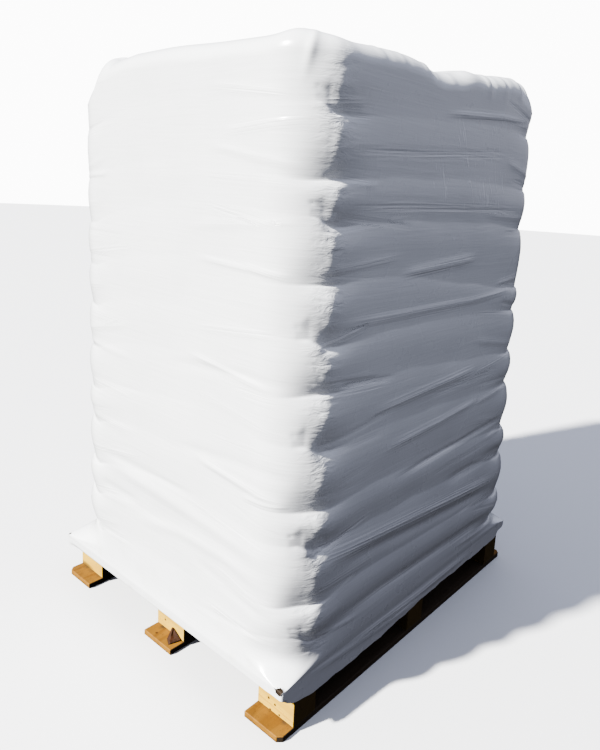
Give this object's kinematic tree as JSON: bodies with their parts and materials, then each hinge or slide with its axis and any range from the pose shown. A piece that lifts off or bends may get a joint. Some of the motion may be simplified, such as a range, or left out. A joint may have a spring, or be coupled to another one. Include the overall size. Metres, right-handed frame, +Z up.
{
  "type": "pallet of sacks",
  "caption": "Wooden block pallet stacked high with layers of sacks under a white stretch hood drawn over the edges of the deck. Stands free and takes forks from every side.",
  "frame": {"origin": "centre of the pallet's underside, on the floor", "axes": "+X along the bottom boards, +Y across them, +Z up. The picture looks at the -X end and the -Y side."},
  "size_m": [1.3056, 1.1056, 1.8148],
  "materials": {
    "bottom_board_wood": "sawn softwood, weathered orange brown",
    "block_wood": "sawn softwood, pale",
    "deck_wood": "sawn softwood",
    "wedge_wood": "split softwood offcut, dark brown",
    "sack_film": "white polyethylene sack film",
    "hood_film": "opaque white stretch film, satin to glossy, wrinkled"
  },
  "bodies": {
    "root": {"bottom_board_near": "bottom_board_wood", "bottom_board_middle": "bottom_board_wood", "bottom_board_far": "bottom_board_wood", "block_near_left": "block_wood", "block_near_centre": "block_wood", "block_near_right": "block_wood", "block_middle_left": "block_wood", "block_middle_centre": "block_wood", "block_middle_right": "block_wood", "block_far_left": "block_wood", "block_far_centre": "block_wood", "block_far_right": "block_wood", "stringer_board_left": "deck_wood", "stringer_board_centre": "deck_wood", "stringer_board_right": "deck_wood", "deck_board_1": "deck_wood", "deck_board_2": "deck_wood", "deck_board_3": "deck_wood", "deck_board_4": "deck_wood", "deck_board_5": "deck_wood", "deck_board_6": "deck_wood", "deck_board_7": "deck_wood", "wood_wedge": "wedge_wood", "sack_layer_01": "sack_film", "sack_layer_02": "sack_film", "sack_layer_03": "sack_film", "sack_layer_04": "sack_film", "sack_layer_05": "sack_film", "sack_layer_06": "sack_film", "sack_layer_07": "sack_film", "sack_layer_08": "sack_film", "sack_layer_09": "sack_film", "sack_layer_10": "sack_film", "sack_layer_11": "sack_film", "sack_layer_12": "sack_film", "stretch_hood": "hood_film"}
  },
  "joints": []
}
